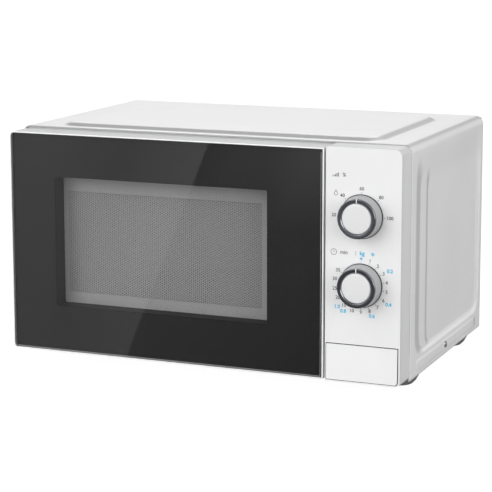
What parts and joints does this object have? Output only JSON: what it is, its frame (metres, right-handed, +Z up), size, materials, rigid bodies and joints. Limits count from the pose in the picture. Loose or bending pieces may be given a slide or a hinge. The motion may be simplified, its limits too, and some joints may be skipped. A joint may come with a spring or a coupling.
{
  "type": "microwave oven",
  "caption": "Countertop microwave oven with a swinging glass door, turntable, power dial, timer dial and push-button door release.",
  "frame": {"origin": "on the surface the feet stand on, under the middle of the oven's outer box", "axes": "+X towards the control panel side (right, seen from the front), +Y to the rear, +Z up"},
  "size_m": [0.4462, 0.3175, 0.2591],
  "materials": {
    "painted_steel": "silver grey powder coat, satin",
    "cavity_enamel": "light grey enamel, satin",
    "galvanised_steel": "galvanised sheet, matte",
    "white_plastic": "white, low gloss",
    "grey_plastic": "light grey, satin",
    "black_plastic": "black, matte",
    "natural_plastic": "undyed moulding, matte",
    "dark_chrome": "dark chrome plate",
    "screen_steel": "dark grey painted perforated sheet",
    "door_glass": "clear glass with a black printed border, gloss",
    "clear_glass": "clear, gloss",
    "mica": "mica sheet",
    "rubber": "black, matte",
    "copper": "varnished copper wire",
    "laminations": "stacked steel laminations",
    "aluminium": "bare aluminium",
    "zinc_steel": "zinc plated steel",
    "circuit_board": "phenolic board"
  },
  "bodies": {
    "cabinet": {"outer_cover": "painted_steel", "base_plate": "galvanised_steel", "rear_panel": "galvanised_steel", "front_plate": "painted_steel", "oven_cavity": "cavity_enamel", "cord_gland": "black_plastic", "upper_hinge": "zinc_steel", "lower_hinge": "zinc_steel", "cover_screw_left": "zinc_steel", "cover_screw_right": "zinc_steel", "front_left_foot": "rubber", "rear_left_foot": "rubber", "front_right_foot": "rubber", "rear_right_foot": "rubber", "waveguide": "galvanised_steel", "waveguide_cover": "mica", "magnetron_yoke": "galvanised_steel", "magnetron_anode": "aluminium", "transformer_core": "laminations", "transformer_primary": "copper", "transformer_secondary": "copper", "hv_capacitor": "aluminium", "fan_shroud": "natural_plastic", "fan_motor": "laminations", "cavity_lamp": "clear_glass", "thermal_cutout": "black_plastic", "fuse_board": "circuit_board", "turntable_motor": "zinc_steel", "interlock_bracket": "natural_plastic", "primary_microswitch": "black_plastic", "monitor_microswitch": "black_plastic", "secondary_microswitch": "black_plastic", "control_panel": "white_plastic", "button_spring": "zinc_steel", "timer_unit": "natural_plastic"},
    "door": {"door_frame": "white_plastic", "door_glass": "door_glass", "window_shroud": "black_plastic", "door_screen": "screen_steel", "door_film": "clear_glass", "choke_cover": "black_plastic", "hook_spring": "zinc_steel"},
    "hook_carrier": {"latch_hooks": "natural_plastic"},
    "power_knob": {"power_shaft": "natural_plastic", "power_knob_body": "grey_plastic", "power_knob_ring": "dark_chrome", "power_knob_cap": "white_plastic"},
    "timer_knob": {"timer_shaft": "natural_plastic", "timer_knob_body": "grey_plastic", "timer_knob_ring": "dark_chrome", "timer_knob_cap": "white_plastic"},
    "button": {"release_button": "white_plastic"},
    "lever": {"latch_lever": "natural_plastic"},
    "fan": {"fan_blade": "natural_plastic"},
    "turntable": {"drive_coupler": "natural_plastic", "glass_turntable": "clear_glass"},
    "roller_support": {"roller_ring": "natural_plastic"},
    "roller_1": {"roller_wheel_1": "black_plastic"},
    "roller_2": {"roller_wheel_2": "black_plastic"},
    "roller_3": {"roller_wheel_3": "black_plastic"}
  },
  "joints": [
    {"name": "door_hinge", "type": "hinge", "parent": "cabinet", "child": "door", "pos_m": [-0.213, -0.1275, 0.134], "axis": [0, 0, -1], "range_deg": [0, 100]},
    {"name": "hook_lift", "type": "slide", "parent": "door", "child": "hook_carrier", "axis": [0, 0, 1], "range_m": [0, 0.004], "stiffness_N_per_m": 300, "deforming": ["hook_spring"]},
    {"name": "power_knob_turn", "type": "hinge", "parent": "cabinet", "child": "power_knob", "pos_m": [0.1785, -0.1505, 0.1865], "axis": [0, 1, 0], "range_deg": [-90, 90]},
    {"name": "timer_knob_turn", "type": "hinge", "parent": "cabinet", "child": "timer_knob", "pos_m": [0.1785, -0.1505, 0.1165], "axis": [0, 1, 0], "range_deg": [0, 300]},
    {"name": "release_press", "type": "slide", "parent": "cabinet", "child": "button", "axis": [0, 1, 0], "range_m": [0, 0.006], "stiffness_N_per_m": 400, "deforming": ["button_spring"]},
    {"name": "latch_lever_turn", "type": "hinge", "parent": "cabinet", "child": "lever", "pos_m": [0.1515, -0.0905, 0.066], "axis": [1, 0, 0], "range_deg": [0, 12]},
    {"name": "fan_spin", "type": "hinge", "parent": "cabinet", "child": "fan", "pos_m": [0.163, 0.1355, 0.18], "axis": [0, 1, 0], "continuous": true},
    {"name": "turntable_spin", "type": "hinge", "parent": "cabinet", "child": "turntable", "pos_m": [-0.047, 0.0155, 0.05], "axis": [0, 0, 1], "continuous": true},
    {"name": "roller_ring_spin", "type": "hinge", "parent": "cabinet", "child": "roller_support", "pos_m": [-0.047, 0.0155, 0.0408], "axis": [0, 0, 1], "continuous": true},
    {"name": "roller_1_spin", "type": "hinge", "parent": "roller_support", "child": "roller_1", "pos_m": [0.048, 0.0155, 0.0408], "axis": [1, 0, 0], "continuous": true},
    {"name": "roller_2_spin", "type": "hinge", "parent": "roller_support", "child": "roller_2", "pos_m": [-0.0945, 0.09777, 0.0408], "axis": [-0.5, 0.866, 0], "continuous": true},
    {"name": "roller_3_spin", "type": "hinge", "parent": "roller_support", "child": "roller_3", "pos_m": [-0.0945, -0.06677, 0.0408], "axis": [-0.5, -0.866, 0], "continuous": true}
  ],
  "couplings": [
    {"joint": "latch_lever_turn", "follows": "release_press", "rad_per_m": 33.3},
    {"joint": "roller_ring_spin", "follows": "turntable_spin", "ratio": 0.5},
    {"joint": "roller_1_spin", "follows": "turntable_spin", "ratio": -6.3333},
    {"joint": "roller_2_spin", "follows": "turntable_spin", "ratio": -6.3333},
    {"joint": "roller_3_spin", "follows": "turntable_spin", "ratio": -6.3333}
  ]
}
